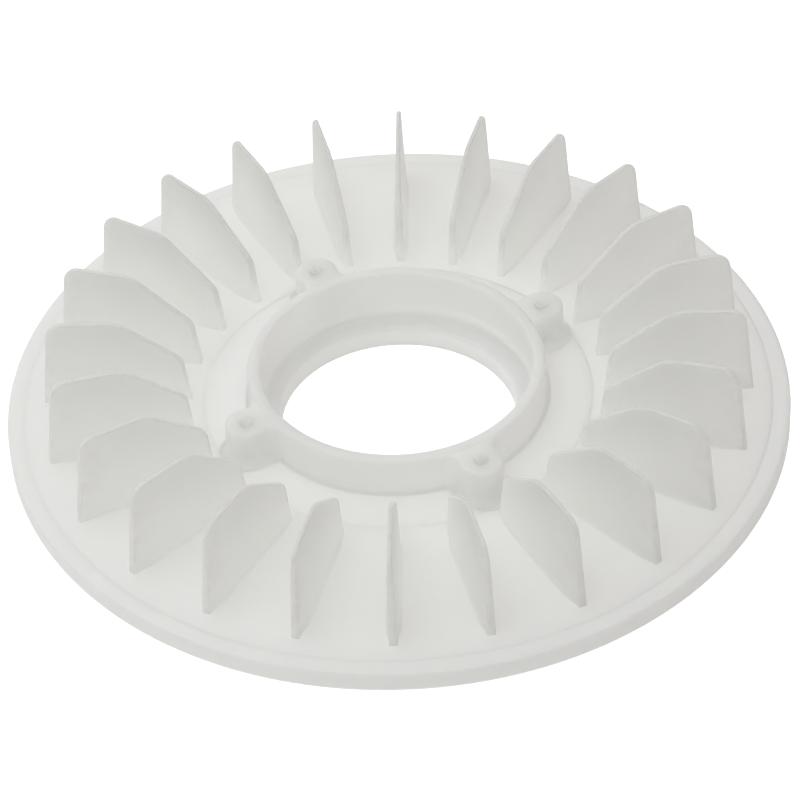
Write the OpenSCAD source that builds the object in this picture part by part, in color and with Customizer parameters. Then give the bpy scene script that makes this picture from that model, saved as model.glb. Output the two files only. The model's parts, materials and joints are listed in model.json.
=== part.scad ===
// One-piece moulded cooling fan for a small engine's flywheel.
// The origin is on the axis at the bottom of the spigot, and +Z points from the spigot to the vanes.

/* [Disc] */
// Outer diameter of the fan
fan_d = 180; // [170:1:200]
// Thickness of the disc under the vanes
web_t = 3; // [2:0.1:4.5]
// Depth of the turned-down edge
rim_t = 5; // [4.6:0.1:8]
// Width of the turned-down edge
rim_w = 4; // [3:0.5:6]
// Radius that rounds the edge
rim_round = 0.4; // [0.2:0.1:1.5]

/* [Hub] */
// Diameter of the through-bore
bore_d = 54.6; // [40:0.1:60]
// Diameter of the counterbore above the ledge
counterbore_d = 62.4; // [61.6:0.1:64]
// Wall thickness of the collar
collar_wall = 3; // [2:0.1:3.5]
// Height of the collar above the disc
collar_h = 9.6; // [6:0.1:14]
// Depth of the ledge below the top of the disc
ledge_drop = 3.8; // [2:0.1:4.5]
// Length of the spigot below the disc's edge
spigot_len = 4.2; // [2:0.1:8]
// Outer diameter of the spigot
spigot_d = 63.6; // [62.4:0.1:65]
// Outer diameter of the thick ring that the bosses stand on
flange_d = 90; // [88:0.5:92]
// Height of the thick ring above the rest of the disc
flange_step = 0.3; // [0.1:0.1:0.8]

/* [Bosses] */
// Number of screw bosses
boss_count = 4; // [2:1:8]
// Diameter of the circle through the boss centres
boss_pcd = 77.4; // [76:0.2:79]
// Diameter of a boss
boss_d = 9.9; // [7:0.1:10.5]
// Diameter of the screw hole
screw_hole_d = 3; // [2:0.1:4]
// How far a boss stops short of the collar's top
boss_drop = 0.3; // [0:0.1:3]
// Angle of the first boss from the X axis
boss_start = 30; // [0:15:90]

/* [Vanes] */
// Number of vanes
vane_count = 24; // [12:1:32]
// Height of the vanes above the disc
vane_h = 22.8; // [16:0.1:30]
// Height of a vane at its inner end
vane_inner_h = 11.7; // [6:0.1:12]
// Radius of a vane's inner end at the disc
vane_inner_r = 47.4; // [46.5:0.1:49]
// How far the inner end leans out over its height
vane_inner_lean = 1.4; // [0.5:0.1:2]
// Length of the level top edge
vane_top_len = 16.3; // [10:0.1:18]
// Gap from a vane's outer end to the edge of the disc
vane_setback = 8.4; // [6.5:0.1:10]
// How far the outer end leans in over its height
vane_lean = 2.2; // [0:0.1:3]
// Thickness of a vane at the disc
vane_root_t = 2; // [1.6:0.1:3.5]
// Thickness of a vane at its top edge
vane_tip_t = 1; // [0.8:0.1:1.5]

/* [Hidden] */
$fn = 144;
plastic = [0.88, 0.88, 0.86];
// Heights of the disc's top, the thick ring's top, the tops of the collar and bosses, and the ledge
top_z = spigot_len + rim_t;
flange_z = top_z + flange_step;
collar_z = top_z + collar_h;
boss_z = collar_z - boss_drop;
ledge_z = top_z - ledge_drop;
// Radii of the rings
fan_r = fan_d / 2;
rim_in_r = fan_r - rim_w;
flange_r = flange_d / 2;
bore_r = bore_d / 2;
counterbore_r = counterbore_d / 2;
collar_r = counterbore_r + collar_wall;
spigot_r = spigot_d / 2;
// How far the edge's top lies below the disc's top
rim_step = 0.1;
// Radius that rounds the hub's corners
edge_round = 0.8;
// Radii of a vane's outer end and of its top edge, and the rounding of its corners
vane_outer_r = fan_r - vane_setback;
vane_top_r = vane_outer_r - vane_lean;
vane_knee_r = vane_top_r - vane_top_len;
vane_tip_round = 4.2;
vane_knee_round = 10;
vane_inner_round = 4;
// Straight pieces that make up one rounded corner
arc_steps = 5;
// Facets on a boss and on a screw hole
boss_facets = 48;
hole_facets = 32;
// How far a cutting shape runs past what it cuts
overrun = 1;

function two_digits(i) = str(i < 10 ? "0" : "", i);
function vane_name(i) = str("vane_", two_digits(i));
function boss_name(i) = str("screw_boss_", i);

function unit(v) = v / norm(v);
// Points along the arc of radius r that rounds a corner between its two neighbours.
function rounded_corner(before, corner, after, r) =
    let (
        to_before = unit(before - corner),
        to_after = unit(after - corner),
        half = acos(to_before * to_after) / 2,
        centre = corner + unit(to_before + to_after) * r / sin(half),
        first = corner + to_before * r / tan(half),
        last = corner + to_after * r / tan(half),
        a = first - centre,
        b = last - centre,
        sweep = 180 - 2 * half
    )
    [for (s = [0 : arc_steps])
        centre + (a * sin(sweep * (1 - s / arc_steps)) + b * sin(sweep * s / arc_steps)) / sin(sweep)];
// Points of an outline whose corner i is rounded with radius radii[i]; 0 keeps the corner sharp.
function rounded_outline(points, radii) =
    let (n = len(points))
    [for (i = [0 : n - 1])
        each radii[i] == 0
            ? [points[i]]
            : rounded_corner(points[(i + n - 1) % n], points[i], points[(i + 1) % n], radii[i])];

// A ring turned from an outline of radius and height, with each corner rounded by its own radius.
module turned_ring(points, radii) {
    color(plastic)
        rotate_extrude()
            polygon(rounded_outline(points, radii));
}

module plate_web() {
    turned_ring(
        [
            [flange_r, top_z - web_t],
            [rim_in_r, top_z - web_t],
            [rim_in_r, top_z],
            [flange_r, top_z]
        ],
        [0, 0, 0, 0]
    );
}

module rim_lip() {
    turned_ring(
        [
            [rim_in_r, spigot_len],
            [fan_r, spigot_len],
            [fan_r, top_z - rim_step],
            [rim_in_r, top_z - rim_step]
        ],
        [edge_round, rim_round, rim_round, 0]
    );
}

module at_boss(i) {
    rotate([0, 0, boss_start + (i - 1) * 360 / boss_count])
        translate([boss_pcd / 2, 0, 0])
            children();
}

// Cutters for the screw holes through what lies between two levels.
module screw_holes(low, high) {
    for (i = [1 : boss_count])
        at_boss(i)
            translate([0, 0, low - overrun])
                cylinder(d = screw_hole_d, h = high - low + 2 * overrun, $fn = hole_facets);
}

// The ring is stepped inside: its lower part goes round the ledge, and its upper part is the counterbore.
module hub_flange() {
    difference() {
        turned_ring(
            [
                [collar_r, spigot_len],
                [flange_r, spigot_len],
                [flange_r, flange_z],
                [counterbore_r, flange_z],
                [counterbore_r, ledge_z],
                [collar_r, ledge_z]
            ],
            [0, edge_round, 0, 0, 0, 0]
        );
        screw_holes(spigot_len, flange_z);
    }
}

module hub_collar() {
    turned_ring(
        [
            [counterbore_r, flange_z],
            [collar_r, flange_z],
            [collar_r, collar_z],
            [counterbore_r, collar_z]
        ],
        [0, 0, edge_round, edge_round]
    );
}

module hub_ledge() {
    turned_ring(
        [
            [bore_r, spigot_len],
            [collar_r, spigot_len],
            [collar_r, ledge_z],
            [bore_r, ledge_z]
        ],
        [0, 0, 0, 0]
    );
}

module hub_spigot() {
    turned_ring(
        [
            [bore_r, 0],
            [spigot_r, 0],
            [spigot_r, spigot_len],
            [bore_r, spigot_len]
        ],
        [0, edge_round, 0, 0]
    );
}

module screw_boss(i) {
    color(plastic)
        difference() {
            at_boss(i)
                translate([0, 0, flange_z])
                    cylinder(d = boss_d, h = boss_z - flange_z, $fn = boss_facets);
            cylinder(r = collar_r, h = collar_z + overrun);
            screw_holes(flange_z, boss_z);
        }
}

// Side view of a vane: radius across, height above the disc up.
function vane_side() = rounded_outline(
    [
        [vane_inner_r, 0],
        [vane_outer_r, 0],
        [vane_top_r, vane_h],
        [vane_knee_r, vane_h],
        [vane_inner_r + vane_inner_lean, vane_inner_h]
    ],
    [0, 0, vane_tip_round, vane_knee_round, vane_inner_round]
);

// End view of a vane: it thins towards the top, so that the mould lets go.
function vane_end() = [
    [-vane_root_t / 2, 0],
    [vane_root_t / 2, 0],
    [vane_tip_t / 2, vane_h],
    [-vane_tip_t / 2, vane_h]
];

module vane(i) {
    color(plastic)
        rotate([0, 0, 90 - (i - 1) * 360 / vane_count])
            translate([0, 0, top_z])
                intersection() {
                    rotate([90, 0, 0])
                        linear_extrude(vane_root_t, center = true)
                            polygon(vane_side());
                    rotate([90, 0, 90])
                        linear_extrude(fan_r)
                            polygon(vane_end());
                }
}

plate_web();
rim_lip();
hub_flange();
hub_collar();
hub_ledge();
hub_spigot();
for (i = [1 : boss_count]) screw_boss(i);
for (i = [1 : vane_count]) vane(i);
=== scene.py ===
import json
import math

import bmesh
import bpy
from mathutils import Matrix, Vector


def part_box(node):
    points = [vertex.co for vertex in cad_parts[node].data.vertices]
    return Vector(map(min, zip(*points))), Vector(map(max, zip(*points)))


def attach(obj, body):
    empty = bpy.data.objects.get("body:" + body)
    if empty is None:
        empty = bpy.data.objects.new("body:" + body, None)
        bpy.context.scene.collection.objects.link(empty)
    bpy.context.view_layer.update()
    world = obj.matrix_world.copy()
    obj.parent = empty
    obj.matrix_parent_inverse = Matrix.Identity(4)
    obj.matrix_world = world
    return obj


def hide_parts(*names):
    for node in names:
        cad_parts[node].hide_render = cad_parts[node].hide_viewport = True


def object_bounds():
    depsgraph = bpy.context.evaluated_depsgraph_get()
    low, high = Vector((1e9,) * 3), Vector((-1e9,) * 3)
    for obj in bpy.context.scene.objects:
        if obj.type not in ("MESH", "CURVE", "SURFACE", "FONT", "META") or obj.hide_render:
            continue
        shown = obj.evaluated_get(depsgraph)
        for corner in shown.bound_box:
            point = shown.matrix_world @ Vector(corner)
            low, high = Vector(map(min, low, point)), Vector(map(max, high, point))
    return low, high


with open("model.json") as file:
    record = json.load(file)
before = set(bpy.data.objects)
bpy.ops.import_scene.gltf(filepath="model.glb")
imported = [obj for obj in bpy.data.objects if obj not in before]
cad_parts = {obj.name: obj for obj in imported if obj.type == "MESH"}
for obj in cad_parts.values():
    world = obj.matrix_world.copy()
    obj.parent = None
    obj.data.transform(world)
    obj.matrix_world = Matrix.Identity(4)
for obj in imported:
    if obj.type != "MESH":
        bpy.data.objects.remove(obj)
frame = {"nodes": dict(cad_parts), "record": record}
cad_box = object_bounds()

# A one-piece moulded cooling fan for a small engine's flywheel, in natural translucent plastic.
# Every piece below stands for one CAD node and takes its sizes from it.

MM = 0.001

# ---------------------------------------------------------------- sizes from the frame


def node_points(node):
    """A CAD node's own vertices."""
    return [v.co.copy() for v in frame["nodes"][node].data.vertices]


def radii(node):
    """Smallest and largest distance of a node's vertices from the fan's axis."""
    distances = [math.hypot(p.x, p.y) for p in node_points(node)]
    return min(distances), max(distances)


def heights(node):
    """Lowest and highest level of a node."""
    low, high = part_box(node)
    return low.z, high.z


FLANGE_R = radii("hub_flange")[1]
RIM_IN = radii("rim_lip")[0]
# The CAD's outline is faceted, so the widest circle inside its box is a hair smaller than the fan.
FAN_R = min(abs(corner[axis]) for corner in cad_box for axis in (0, 1))
COLLAR_IN, COLLAR_R = radii("hub_collar")
BORE_R = radii("hub_ledge")[0]
SPIGOT_R = radii("hub_spigot")[1]
WEB_BOTTOM, TOP = heights("plate_web")
RIM_BOTTOM, RIM_TOP = heights("rim_lip")
FLANGE_BOTTOM, FLANGE_TOP = heights("hub_flange")
COLLAR_TOP = heights("hub_collar")[1]
LEDGE_TOP = heights("hub_ledge")[1]
BOSS_TOP = heights("screw_boss_1")[1]

BOSSES = sorted(n for n in frame["nodes"] if n.startswith("screw_boss"))
VANES = sorted(n for n in frame["nodes"] if n.startswith("vane"))
HOLES = next(m for m in frame["record"]["mounts"] if m["kind"] == "bolt_pattern")["dims"]
BOSS_CIRCLE = HOLES["pcd_mm"] / 2 * MM
HOLE_R = HOLES["hole_r_mm"] * MM

# ---------------------------------------------------------------- camera

VIEW_AZIMUTH = 2.62      # degrees that the camera stands to the right of straight ahead
VIEW_ELEVATION = 41.62   # degrees above the floor
VIEW_ROLL = 2.91         # degrees that the camera leans
VIEW_DISTANCE = 9.298    # fan radii from the camera to the middle of the disc's top
AIM_ACROSS = 0.0049      # fan radii that the aim lies right of that middle
AIM_UP = -0.0188         # fan radii that the aim lies above it
LENS = 163.5             # focal length in millimetres
SENSOR = 36              # width of the sensor in millimetres
CLIP_START = 0.01        # metres in front of the camera that it starts to see at


def add_camera():
    """A camera that looks at the fan from the front, from above and leaning a little."""
    azimuth = math.radians(VIEW_AZIMUTH)
    elevation = math.radians(VIEW_ELEVATION)
    forward = Vector((
        -math.sin(azimuth) * math.cos(elevation),
        math.cos(azimuth) * math.cos(elevation),
        -math.sin(elevation),
    ))
    level_right = Vector((math.cos(azimuth), math.sin(azimuth), 0))
    level_up = level_right.cross(forward)
    roll = Matrix.Rotation(math.radians(VIEW_ROLL), 3, forward)
    right = roll @ level_right
    up = roll @ level_up
    aim = Vector((0, 0, TOP)) + (right * AIM_ACROSS + up * AIM_UP) * FAN_R
    camera = bpy.data.objects.new("camera", bpy.data.cameras.new("camera"))
    camera.data.lens = LENS
    camera.data.sensor_width = SENSOR
    camera.data.clip_start = CLIP_START
    turn = Matrix((right, up, -forward)).transposed().to_4x4()
    camera.matrix_world = Matrix.Translation(aim - forward * VIEW_DISTANCE * FAN_R) @ turn
    bpy.context.scene.collection.objects.link(camera)
    bpy.context.scene.camera = camera


# ---------------------------------------------------------------- materials

CLOUD = 22 * MM           # size of the soft clouds in the plastic
MOTTLE = 3.2 * MM         # size of its blotches
GRAIN = 0.45 * MM         # size of the grain that the mould leaves
NOISE_RANGE = (0.3, 0.7)  # the values that most of a noise lies between
DULL = 0.98               # colour of the duller spots, as a share of the plastic's own
CLOUD_SHARE = 0.6         # how much of the dull colour the clouds bring in at most
MOTTLE_SHARE = 0.4        # and the blotches
SATIN = (0.40, 0.54)      # roughness of the surface, from blotch to blotch
RIPPLE = (0.25, 0.10)     # strength of the blotches' relief, and its depth in millimetres
FINE = (0.20, 0.03)       # the same for the grain's relief
SCATTER_TINT = (1.0, 0.96, 0.90)  # red light wanders furthest inside the plastic
NYLON_IOR = 1.5


def new_nodes(name):
    """A new material with its nodes, its links and its shader."""
    material = bpy.data.materials.new(name)
    material.use_nodes = True
    nodes = material.node_tree.nodes
    return material, nodes, material.node_tree.links, nodes["Principled BSDF"]


def noise(nodes, links, coordinates, size, detail, rough):
    """Noise whose features are about size metres across."""
    node = nodes.new("ShaderNodeTexNoise")
    node.inputs["Scale"].default_value = 1 / size
    node.inputs["Detail"].default_value = detail
    node.inputs["Roughness"].default_value = rough
    links.new(coordinates, node.inputs["Vector"])
    return node.outputs["Fac"]


def to_range(nodes, links, value, low, high, expected=NOISE_RANGE):
    """Maps a value from the range that it is expected in to the range from low to high."""
    node = nodes.new("ShaderNodeMapRange")
    node.inputs["From Min"].default_value = expected[0]
    node.inputs["From Max"].default_value = expected[1]
    node.inputs["To Min"].default_value = low
    node.inputs["To Max"].default_value = high
    links.new(value, node.inputs["Value"])
    return node.outputs["Result"]


def blend_colours(nodes, links, factor, first, second):
    """From first to second as factor goes from 0 to 1; each is a colour or a node's output."""
    node = nodes.new("ShaderNodeMix")
    node.data_type = "RGBA"
    links.new(factor, node.inputs["Factor"])
    for socket, colour in (("A", first), ("B", second)):
        target = next(s for s in node.inputs if s.name == socket and s.type == "RGBA")
        if isinstance(colour, tuple):
            target.default_value = (*colour, 1)
        else:
            links.new(colour, target)
    return next(s for s in node.outputs if s.type == "RGBA")


def relief(nodes, links, height, strength_and_depth, under=None):
    """A bump from a noise, on top of another bump if there is one."""
    strength, depth = strength_and_depth
    node = nodes.new("ShaderNodeBump")
    node.inputs["Strength"].default_value = strength
    node.inputs["Distance"].default_value = depth * MM
    links.new(height, node.inputs["Height"])
    if under is not None:
        links.new(under, node.inputs["Normal"])
    return node.outputs["Normal"]


def natural_nylon(name, thick, painted_shade, scatter):
    """Undyed translucent plastic: cloudy inside, with a fine satin grain left by the mould.

    The first colour is the plastic's colour away from painted shade, the second the painted shade,
    blended in as the mesh attribute of painted shade goes from 0 to 1; only the vanes carry it, 0 at
    their foot and up to 1 on free edges and towards outer ends. scatter is how far light wanders inside
    it."""
    material, nodes, links, shader = new_nodes(name)
    place = nodes.new("ShaderNodeTexCoord").outputs["Object"]
    cloud = noise(nodes, links, place, CLOUD, detail=4.0, rough=0.55)
    mottle = noise(nodes, links, place, MOTTLE, detail=3.0, rough=0.6)
    grain = noise(nodes, links, place, GRAIN, detail=2.0, rough=0.5)
    # Reads the mesh attribute of painted shade; pieces without it read 0 and get none.
    painted_shade_mask = nodes.new("ShaderNodeAttribute")
    painted_shade_mask.attribute_name = "painted_shade"
    base = blend_colours(nodes, links, painted_shade_mask.outputs["Fac"], thick, painted_shade)
    dull = tuple(c * DULL for c in thick)
    clouds = to_range(nodes, links, cloud, 0, CLOUD_SHARE)
    cloudy = blend_colours(nodes, links, clouds, base, dull)
    blotches = to_range(nodes, links, mottle, 0, MOTTLE_SHARE)
    colour = blend_colours(nodes, links, blotches, cloudy, dull)
    links.new(colour, shader.inputs["Base Color"])
    links.new(to_range(nodes, links, mottle, *SATIN), shader.inputs["Roughness"])
    shader.inputs["Subsurface Weight"].default_value = 1.0
    shader.inputs["Subsurface Radius"].default_value = SCATTER_TINT
    shader.inputs["Subsurface Scale"].default_value = scatter
    shader.inputs["IOR"].default_value = NYLON_IOR
    ripple = relief(nodes, links, mottle, RIPPLE)
    links.new(relief(nodes, links, grain, FINE, ripple), shader.inputs["Normal"])
    outside_only(nodes, links, shader)
    return material


def outside_only(nodes, links, shader):
    """Lets light cross a skin that it meets from within, because touching pieces are one moulding."""
    facing = nodes.new("ShaderNodeMath")
    facing.operation = "SUBTRACT"
    facing.inputs[0].default_value = 1.0
    links.new(nodes.new("ShaderNodeNewGeometry").outputs["Backfacing"], facing.inputs[1])
    links.new(facing.outputs["Value"], shader.inputs["Alpha"])


THICK_SCATTER = 16 * MM  # how far light wanders inside the thick hub
THIN_SCATTER = 8 * MM    # and inside the thin disc and vanes
NEUTRAL = (0.978, 0.977, 0.970)  # the disc
VANES_PAINTED_LIGHTER = (0.985, 0.987, 0.968)    # the vanes away from their painted shade: painted a touch lighter than the disc, though the same plastic, to lift the shade between the vanes
HUB_PAINTED_LIGHTER = (0.997, 0.998, 0.985)  # the hub: painted lighter than the disc, though the same plastic, to lift the shade in its walls and round its bosses
PAINTED_SHADE_COLOUR = (0.780, 0.750, 0.718)    # painted shade on the vanes' free edges and towards their outer ends
# One plastic throughout: the hub and vanes carry painted light over the disc's colour, and the vanes
# carry painted shade.
PLASTIC = {
    "disc": natural_nylon("nylon_disc", NEUTRAL, PAINTED_SHADE_COLOUR, THIN_SCATTER),
    "hub": natural_nylon("nylon_hub", HUB_PAINTED_LIGHTER, PAINTED_SHADE_COLOUR, THICK_SCATTER),
    "vanes": natural_nylon("nylon_vanes", VANES_PAINTED_LIGHTER, PAINTED_SHADE_COLOUR, THIN_SCATTER),
}

# ---------------------------------------------------------------- mesh tools

SHARP_ANGLE = math.radians(40)  # faces that meet at more than this keep a sharp edge
ROUND_SIDES = 360               # sides of a turned ring
HOLE_SIDES = 48                 # sides of a screw hole


def finish_piece(name, mesh_bm, slot, replaced, painted_shade_mask=None):
    """Turns a bmesh into a smooth-shaded piece that rides on the fan and stands for its CAD nodes.

    The optional last argument gives the painted-shade attribute at a point; without it the piece gets no
    painted shade."""
    bmesh.ops.recalc_face_normals(mesh_bm, faces=mesh_bm.faces)
    mesh = bpy.data.meshes.new(name)
    mesh_bm.to_mesh(mesh)
    mesh_bm.free()
    # Stores the painted shade as a mesh attribute for the material to read.
    if painted_shade_mask is not None:
        values = [painted_shade_mask(v.co) for v in mesh.vertices]
        mesh.attributes.new("painted_shade", "FLOAT", "POINT").data.foreach_set("value", values)
    mesh.materials.append(PLASTIC[slot])
    mesh.polygons.foreach_set("use_smooth", [True] * len(mesh.polygons))
    mesh.set_sharp_from_angle(angle=SHARP_ANGLE)
    piece = bpy.data.objects.new(name, mesh)
    bpy.context.scene.collection.objects.link(piece)
    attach(piece, "root")
    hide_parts(*replaced)
    return piece


def bridge(mesh_bm, rings, closed_path):
    """Quads between neighbouring rings of vertices; each ring is a closed loop."""
    count = len(rings[0])
    pairs = list(zip(rings, rings[1:]))
    if closed_path:
        pairs.append((rings[-1], rings[0]))
    for lower, upper in pairs:
        for i in range(count):
            j = (i + 1) % count
            mesh_bm.faces.new((lower[i], lower[j], upper[j], upper[i]))


def arc(centre, radius, start, end, steps):
    """Points on a circle from start to end degrees."""
    angles = [math.radians(start + (end - start) * s / steps) for s in range(steps + 1)]
    return [(centre[0] + radius * math.cos(a), centre[1] + radius * math.sin(a)) for a in angles]


def flat(start, end, steps):
    """Points that divide a straight stretch into steps, its ends left out."""
    return [
        (start[0] + (end[0] - start[0]) * s / steps, start[1] + (end[1] - start[1]) * s / steps)
        for s in range(1, steps)
    ]


def turned(name, outline, slot, replaced):
    """A closed outline of (radius, height) points turned round the fan's axis."""
    mesh_bm = bmesh.new()
    rings = []
    for radius, height in outline:
        ring = []
        for i in range(ROUND_SIDES):
            a = 2 * math.pi * i / ROUND_SIDES
            ring.append(mesh_bm.verts.new((radius * math.cos(a), radius * math.sin(a), height)))
        rings.append(ring)
    bridge(mesh_bm, rings, closed_path=True)
    return finish_piece(name, mesh_bm, slot, replaced)


def stacked(direction, layers):
    """The mesh of an upright body with flat ends, from its (height, outline) layers.

    An outline is a list of (along direction, across it) points, the same number in every layer."""
    sideways = Vector((-direction.y, direction.x, 0))
    mesh_bm = bmesh.new()
    rings = []
    for height, outline in layers:
        ring = []
        for x, y in outline:
            place = direction * x + sideways * y
            ring.append(mesh_bm.verts.new((place.x, place.y, height)))
        rings.append(ring)
    bridge(mesh_bm, rings, closed_path=False)
    mesh_bm.faces.new(rings[0])
    mesh_bm.faces.new(rings[-1])
    return mesh_bm


# ---------------------------------------------------------------- disc and hub

TONGUE = 0.4 * MM        # how far a ring reaches, out of sight, into its neighbour
STEP_RUN = 0.8 * MM      # width of the slope that softens a low step in the disc
STEP_EASE = 0.03 * MM    # how far that slope has come down halfway to the rim
STEP_SHARES = ((0.25, 0.15), (0.50, 0.50), (0.75, 0.85))  # run and rise of the flange's S-shaped slope
WEB_RINGS = 14           # rings of faces across the web
COLLAR_SOFT = 0.5 * MM   # rounding of the collar's inner top edge; the outer one is twice that
COLLAR_FILLET = 1.0 * MM  # fillet at the collar's foot


def plate_web():
    """The thin disc between the flange and the rim."""
    inner = FLANGE_R - TONGUE
    ramp = RIM_IN - STEP_RUN
    top = [(inner, TOP), *flat((inner, TOP), (ramp, TOP), WEB_RINGS), (ramp, TOP)]
    outer = [(RIM_IN - STEP_RUN / 2, TOP - STEP_EASE), (RIM_IN, RIM_TOP), (RIM_IN, WEB_BOTTOM)]
    bottom = flat((RIM_IN, WEB_BOTTOM), (inner, WEB_BOTTOM), WEB_RINGS)
    turned("plate_web", [*top, *outer, *bottom, (inner, WEB_BOTTOM)], "disc", ["plate_web"])


def rim_lip():
    """The disc's deeper edge. Its top lies a hair below the web's, which leaves the faint ring there."""
    corner = 0.4 * MM
    inner_corner = 0.8 * MM
    outline = [
        (RIM_IN, WEB_BOTTOM),
        *arc((RIM_IN + inner_corner, RIM_BOTTOM + inner_corner), inner_corner, 180, 270, 6),
        *arc((FAN_R - corner, RIM_BOTTOM + corner), corner, 270, 360, 6),
        *flat((FAN_R, RIM_BOTTOM + corner), (FAN_R, RIM_TOP - corner), 4),
        *arc((FAN_R - corner, RIM_TOP - corner), corner, 0, 90, 6),
        *flat((FAN_R - corner, RIM_TOP), (RIM_IN - TONGUE, RIM_TOP), 4),
        (RIM_IN - TONGUE, RIM_TOP),
        (RIM_IN - TONGUE, WEB_BOTTOM + TONGUE),
        (RIM_IN, WEB_BOTTOM + TONGUE),
    ]
    turned("rim_lip", outline, "disc", ["rim_lip"])


def hub_flange():
    """The thick ring that the collar and the bosses stand on."""
    edge = 0.5 * MM
    rise = FLANGE_TOP - TOP
    outline = [
        (COLLAR_IN, LEDGE_TOP - TONGUE),
        (COLLAR_R - TONGUE, LEDGE_TOP - TONGUE),
        (COLLAR_R - TONGUE, FLANGE_BOTTOM),
        *arc((FLANGE_R - edge, FLANGE_BOTTOM + edge), edge, 270, 360, 6),
        (FLANGE_R, TOP),
        *[(FLANGE_R - STEP_RUN * across, TOP + rise * up) for across, up in STEP_SHARES],
        (FLANGE_R - STEP_RUN, FLANGE_TOP),
        *flat((FLANGE_R - STEP_RUN, FLANGE_TOP), (COLLAR_IN, FLANGE_TOP), 8),
        (COLLAR_IN, FLANGE_TOP),
    ]
    piece = turned("hub_flange", outline, "hub", ["hub_flange"])
    drill_screw_holes(piece)


def drill_screw_holes(piece):
    """Cuts the screw holes through a piece with a boolean, and applies it."""
    drill_length = 20 * MM
    drill_bm = bmesh.new()
    for name in BOSSES:
        centre = boss_centre(name)
        made = bmesh.ops.create_cone(
            drill_bm,
            cap_ends=True,
            segments=HOLE_SIDES,
            radius1=HOLE_R,
            radius2=HOLE_R,
            depth=drill_length,
        )
        bmesh.ops.translate(drill_bm, verts=made["verts"], vec=(centre.x, centre.y, TOP))
    mesh = bpy.data.meshes.new("drill")
    drill_bm.to_mesh(mesh)
    drill_bm.free()
    drill = bpy.data.objects.new("drill", mesh)
    bpy.context.scene.collection.objects.link(drill)
    cut = piece.modifiers.new("holes", "BOOLEAN")
    cut.operation = "DIFFERENCE"
    cut.solver = "EXACT"
    cut.object = drill
    evaluated = piece.evaluated_get(bpy.context.evaluated_depsgraph_get())
    cut_mesh = bpy.data.meshes.new_from_object(evaluated)
    piece.modifiers.clear()
    piece.data = cut_mesh
    bpy.data.objects.remove(drill)


def hub_collar():
    """The low wall round the centre."""
    inner, outer, fillet = COLLAR_SOFT, 2 * COLLAR_SOFT, COLLAR_FILLET
    top = COLLAR_TOP
    foot = FLANGE_TOP
    outline = [
        (COLLAR_IN, foot - TONGUE),
        (COLLAR_R + fillet, foot - TONGUE),
        *arc((COLLAR_R + fillet, foot + fillet), fillet, 270, 180, 6),
        *flat((COLLAR_R, foot + fillet), (COLLAR_R, top - outer), 5),
        *arc((COLLAR_R - outer, top - outer), outer, 0, 90, 8),
        *arc((COLLAR_IN + inner, top - inner), inner, 90, 180, 6),
        *flat((COLLAR_IN, top - inner), (COLLAR_IN, foot), 5),
    ]
    turned("hub_collar", outline, "hub", ["hub_collar"])


def hub_ledge():
    """The inward step, with a hollow corner where it meets the counterbore's wall.

    A tongue of it stands out of sight inside the collar's wall, so that the corner isn't a narrow wedge
    that no light can spread into."""
    edge = 0.3 * MM
    hollow = 1.6 * MM
    wall_in = COLLAR_IN + TONGUE
    wall_out = COLLAR_R - TONGUE
    wall_top = COLLAR_TOP - 2 * COLLAR_SOFT
    outline = [
        (BORE_R, FLANGE_BOTTOM),
        (COLLAR_R, FLANGE_BOTTOM),
        (COLLAR_R, LEDGE_TOP),
        (wall_out, LEDGE_TOP),
        *flat((wall_out, LEDGE_TOP), (wall_out, wall_top), 6),
        (wall_out, wall_top),
        (wall_in, wall_top),
        *flat((wall_in, wall_top), (wall_in, LEDGE_TOP + hollow), 6),
        *arc((COLLAR_IN - hollow, LEDGE_TOP + hollow), hollow, 360, 270, 8),
        *flat((COLLAR_IN - hollow, LEDGE_TOP), (BORE_R + edge, LEDGE_TOP), 4),
        *arc((BORE_R + edge, LEDGE_TOP - edge), edge, 90, 180, 5),
    ]
    turned("hub_ledge", outline, "hub", ["hub_ledge"])


def hub_spigot():
    """The short ring below the disc that the fan stands on."""
    inner = 0.3 * MM
    outer = 0.8 * MM
    outline = [
        *arc((BORE_R + inner, inner), inner, 180, 270, 5),
        *arc((SPIGOT_R - outer, outer), outer, 270, 360, 8),
        (SPIGOT_R, FLANGE_BOTTOM),
        (SPIGOT_R, FLANGE_BOTTOM + TONGUE),
        (BORE_R, FLANGE_BOTTOM + TONGUE),
    ]
    turned("hub_spigot", outline, "hub", ["hub_spigot"])


# ---------------------------------------------------------------- screw bosses

BOSS_R = 4.95 * MM
NECK = 2.6 * MM          # radius that fills the corner between a boss and the collar
BOSS_FILLET = 2.0 * MM   # fillet round a boss's foot
BOSS_EDGE = 0.7 * MM     # rounding of a boss's top


def boss_centre(name):
    """The boss's own axis: on the screw circle, in the direction of the node's middle.

    The middle of a boss that the collar cuts is a little off, so it is put right to a sixth of the
    angle between two bosses, because each boss lines up with a vane."""
    low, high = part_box(name)
    middle = (low + high) / 2
    grid = math.radians(360 / len(BOSSES)) / 6
    angle = round(math.atan2(middle.y, middle.x) / grid) * grid
    return Vector((math.cos(angle), math.sin(angle), 0)) * BOSS_CIRCLE


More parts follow.
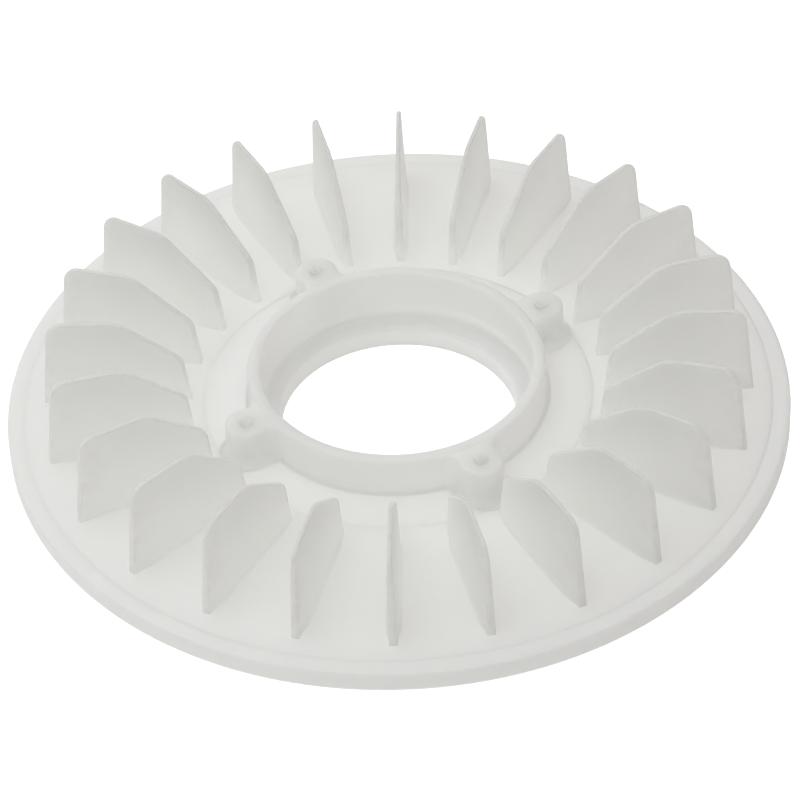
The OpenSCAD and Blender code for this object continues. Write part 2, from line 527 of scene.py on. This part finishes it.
def boss_outline(grow, steps=10):
    """Plan of a boss that flows into the collar, as (along the radius, across) points.

    The plan is the boss's circle, joined to the collar's circle on both sides by a hollow corner that
    touches both. grow pushes the whole plan outwards."""
    boss_r = BOSS_R + grow
    collar_r = COLLAR_R + grow
    neck = NECK - grow
    reach_collar = collar_r + neck
    reach_boss = boss_r + neck
    along = (reach_collar ** 2 + BOSS_CIRCLE ** 2 - reach_boss ** 2) / (2 * BOSS_CIRCLE)
    across = math.sqrt(reach_collar ** 2 - along ** 2)
    to_collar = math.degrees(math.atan2(-across, -along))
    to_boss = math.degrees(math.atan2(-across, BOSS_CIRCLE - along))
    corner = arc((along, across), neck, to_collar, to_boss, steps)
    boss_start = math.degrees(math.atan2(across, along - BOSS_CIRCLE))
    front = arc((BOSS_CIRCLE, 0), boss_r, boss_start, -boss_start, 3 * steps)
    mirrored = [(x, -y) for x, y in reversed(corner)]
    inside = COLLAR_IN + TONGUE
    side = math.asin(corner[0][1] / collar_r)
    turns = [side * (1 - 2 * s / steps) for s in range(steps + 1)]
    back = [(inside * math.cos(turn), -inside * math.sin(turn)) for turn in turns]
    return [*corner, *front[1:-1], *mirrored, *back]


def screw_boss(name):
    """A round boss that flows into the collar and into the flange, with its screw hole."""
    foot = FLANGE_TOP
    levels = [(foot - TONGUE, BOSS_FILLET)]
    hollow = arc((BOSS_FILLET, foot + BOSS_FILLET), BOSS_FILLET, 270, 180, 8)
    levels += [(height, grow) for grow, height in hollow]
    levels += [(foot + (BOSS_TOP - foot) * share, 0.0) for share in (0.50, 0.75)]
    rounded = arc((-BOSS_EDGE, BOSS_TOP - BOSS_EDGE), BOSS_EDGE, 0, 90, 6)
    levels += [(height, grow) for grow, height in rounded]
    layers = [(height, boss_outline(grow)) for height, grow in levels]
    mesh_bm = stacked(boss_centre(name).normalized(), layers)
    piece = finish_piece(name, mesh_bm, "hub", [name])
    drill_screw_holes(piece)


# ---------------------------------------------------------------- vanes

ROOT = 2.4 * MM          # how far a vane reaches, out of sight, into the disc
EDGE = 0.40 * MM         # rounding along a vane's free edges
FREE_EDGE = 1.01 * EDGE  # a vertex this close to a free edge lies on its rounding
VANE_FILLET = 0.9 * MM   # fillet along a vane's foot
FADE = 5.0 * MM          # length over which that fillet runs out at each end
VANE_BANDS = 14          # bands of faces up a vane, besides those that its curves need
LEAST_BAND = 0.02 * MM   # bands lower than this are left out
LEVEL_DIGITS = 6         # heights and radii are kept to a thousandth of a millimetre
AT_LEVEL = 0.01 * MM     # how close to a level a vertex counts as on it
PAINTED_SHADE_POWER = 4           # how suddenly the painted shade comes in towards a vane's outer end
PAINTED_SHADE_HEIGHT = 0.4        # share of a vane's height below which the painted shade fades out towards its foot


def edge_at(points, level, pick):
    """Where a convex side view's edge is at that level: pick is min for the inner end, max for the outer.

    Lines between all pairs of points are tried, and on a convex shape the furthest one is its edge."""
    crossings = [
        r0 + (r1 - r0) * (level - z0) / (z1 - z0)
        for r0, z0 in points
        for r1, z1 in points
        if z0 <= level <= z1 and z1 > z0
    ]
    return pick(crossings)


def vane_levels(points):
    """Heights at which a vane is sliced: close together where its outline or its edges curve."""
    lowest = min(z for _, z in points)
    highest = max(z for _, z in points)
    levels = [z for _, z in points]
    levels += [lowest + (highest - lowest) * s / VANE_BANDS for s in range(VANE_BANDS + 1)]
    levels += [lowest + VANE_FILLET + y for _, y in arc((0, 0), VANE_FILLET, 270, 180, 6)]
    levels += [highest - EDGE + y for _, y in arc((0, 0), EDGE, 0, 90, 6)]
    levels.append(highest - 2 * EDGE)
    kept = []
    for level in sorted({round(z, LEVEL_DIGITS) for z in levels}):
        if not kept or level - kept[-1] > LEAST_BAND:
            kept.append(level)
    kept[-1] = highest
    return kept


def vane_slice(start, end, half, flare, long_steps=20, corner_steps=5):
    """A long thin rectangle with round corners, as (radius, across) points.

    Its long sides swell by flare, which fades out towards both ends. The corners stay a little under
    half the width and half the length."""
    corner = min(EDGE, half * 0.98, (end - start) / 2.2)
    outer_corner = arc((end - corner, half - corner), corner, 0, 90, corner_steps)
    inner_corner = arc((start + corner, half - corner), corner, 90, 180, corner_steps)
    outer_face = outer_corner[-1][0] - EDGE
    inner_face = inner_corner[0][0] + EDGE
    face = []
    for s in range(long_steps + 1):
        share = (1 - math.cos(math.pi * s / long_steps)) / 2
        along = outer_face + (inner_face - outer_face) * share
        swell = min(1, min(outer_face - along, along - inner_face) / FADE)
        face.append((along, half + flare * swell * swell * (3 - 2 * swell)))
    upper = [*outer_corner, *face, *inner_corner]
    lower = [(x, -y) for x, y in reversed(upper)]
    return [*upper, *lower]


def vane(name):
    """A flat upright vane, thinner at the top, with round free edges and a fillet at its foot."""
    points = node_points(name)
    middle = sum(points, Vector()) / len(points)
    angle = math.atan2(middle.y, middle.x)
    radial = Vector((math.cos(angle), math.sin(angle), 0))
    across = Vector((-radial.y, radial.x, 0))
    side = sorted({(round(p.dot(radial), LEVEL_DIGITS), round(p.z, LEVEL_DIGITS)) for p in points})
    low = min(z for _, z in side)
    high = max(z for _, z in side)
    half_root = max(abs(p.dot(across)) for p in points if p.z < low + AT_LEVEL)
    half_tip = max(abs(p.dot(across)) for p in points if p.z > high - AT_LEVEL)
    slices = [(low - ROOT, low)] + [(z, z) for z in vane_levels(side)]
    layers = []
    for height, level in slices:
        share = (level - low) / (high - low)
        half = half_root + (half_tip - half_root) * share
        above_foot = min(level - low, VANE_FILLET)
        curve = VANE_FILLET ** 2 - (VANE_FILLET - above_foot) ** 2
        flare = VANE_FILLET - math.sqrt(max(0.0, curve))
        into_top = max(0.0, level - (high - EDGE))
        shrink = EDGE - math.sqrt(max(0.0, EDGE ** 2 - into_top ** 2))
        start = edge_at(side, level, min)
        end = edge_at(side, level, max)
        layers.append((height, vane_slice(start, end, half - shrink, flare)))

    def painted_shade_mask(point):
        """Painted shade on a vane: full on its free edges and rising steeply towards its outer end,
        fading out over the lower part of the vane to none at its foot.
        """
        up = min(1, max(0, (point.z - low) / (high - low)))
        level = min(high, max(low, point.z))
        along = point.dot(radial)
        start, end = edge_at(side, level, min), edge_at(side, level, max)
        out = min(1, max(0, (along - side[0][0]) / (side[-1][0] - side[0][0])))
        free = min(along - start, end - along, high - point.z) < FREE_EDGE
        return min(1, (out ** PAINTED_SHADE_POWER + (1.0 if free else 0)) * min(1, up / PAINTED_SHADE_HEIGHT))

    finish_piece(name, stacked(radial, layers), "vanes", [name], painted_shade_mask)


# ---------------------------------------------------------------- floor and light

LIGHTS = [
    # direction towards the light, peak strength, colour
    ((0, 0, 1), 1.11, (0.997, 1, 0.983)),
    ((0, -1, 1), 0.33, (0.997, 1, 0.983)),
    ((-1, 0, 1), 0.48, (0.975, 1, 0.975)),
    ((1, 0, 1), 0.06, (1, 0.50, 0.35)),
    ((0, 1, 0.2), 0.61, (1, 0.99, 0.965)),
    ((-1, 0.4, 0.2), 0.28, (0.975, 1, 0.965)),
]
LIGHT_SPREAD = 0.55      # cosine of the angle at which a light has faded out
FLOOR_SIZE = 8                      # metres
FLOOR_PALE = (0.90, 0.90, 0.89, 1)  # how much light the floor throws back
FLOOR_ROUGHNESS = 0.8
FLOOR_GLOSS = 0.1
FLOOR_GLOW = 0.13                   # what it gives by itself, as a light table does
FLOOR_WHITE = 0.60                  # what it adds for the camera, as a cut-out white does
WHITE = (1, 1, 1, 1)
BOUNCES = 12                        # such pale plastic passes light on many times


def camera_only(nodes):
    """1 for rays straight from the camera, 0 for those that light the object."""
    return nodes.new("ShaderNodeLightPath").outputs["Is Camera Ray"]


def add_floor():
    """A pale floor at the level that the fan stands on."""
    bpy.ops.mesh.primitive_plane_add(size=FLOOR_SIZE, location=(0, 0, 0))
    floor = bpy.context.object
    floor.name = "floor"
    material, nodes, links, shader = new_nodes("studio_floor")
    shader.inputs["Base Color"].default_value = FLOOR_PALE
    shader.inputs["Roughness"].default_value = FLOOR_ROUGHNESS
    shader.inputs["Specular IOR Level"].default_value = FLOOR_GLOSS
    shader.inputs["Emission Color"].default_value = WHITE
    seen_glow = FLOOR_GLOW + FLOOR_WHITE
    glow = to_range(nodes, links, camera_only(nodes), FLOOR_GLOW, seen_glow, expected=(0, 1))
    links.new(glow, shader.inputs["Emission Strength"])
    floor.data.materials.append(material)


def add_lights():
    """Large soft lights, as lobes of the world, in front of a white backdrop."""
    world = bpy.data.worlds.new("studio")
    world.use_nodes = True
    bpy.context.scene.world = world
    nodes, links = world.node_tree.nodes, world.node_tree.links
    direction = nodes.new("ShaderNodeTexCoord").outputs["Generated"]
    output = nodes["World Output"]
    backdrop = nodes["Background"]
    backdrop.inputs["Color"].default_value = WHITE
    backdrop.inputs["Strength"].default_value = 1
    total = None
    for towards, peak, colour in LIGHTS:
        cosine = nodes.new("ShaderNodeVectorMath")
        cosine.operation = "DOT_PRODUCT"
        links.new(direction, cosine.inputs[0])
        cosine.inputs[1].default_value = Vector(towards).normalized()
        lobe = nodes.new("ShaderNodeMapRange")
        lobe.interpolation_type = "SMOOTHSTEP"
        lobe.inputs["From Min"].default_value = LIGHT_SPREAD
        lobe.inputs["To Max"].default_value = peak
        links.new(cosine.outputs["Value"], lobe.inputs["Value"])
        light = nodes.new("ShaderNodeBackground")
        light.inputs["Color"].default_value = (*colour, 1)
        links.new(lobe.outputs["Result"], light.inputs["Strength"])
        if total is None:
            total = light.outputs["Background"]
        else:
            added = nodes.new("ShaderNodeAddShader")
            links.new(total, added.inputs[0])
            links.new(light.outputs["Background"], added.inputs[1])
            total = added.outputs["Shader"]
    chosen = nodes.new("ShaderNodeMixShader")
    links.new(camera_only(nodes), chosen.inputs["Fac"])
    links.new(total, chosen.inputs[1])
    links.new(backdrop.outputs["Background"], chosen.inputs[2])
    links.new(chosen.outputs["Shader"], output.inputs["Surface"])


def add_studio():
    """Floor, light, and how light is counted and shown."""
    add_floor()
    add_lights()
    bpy.context.scene.view_settings.view_transform = "Standard"
    bpy.context.scene.cycles.diffuse_bounces = BOUNCES


# ---------------------------------------------------------------- build

add_camera()
plate_web()
rim_lip()
hub_flange()
hub_collar()
hub_ledge()
hub_spigot()
for boss in BOSSES:
    screw_boss(boss)
for blade in VANES:
    vane(blade)
add_studio()
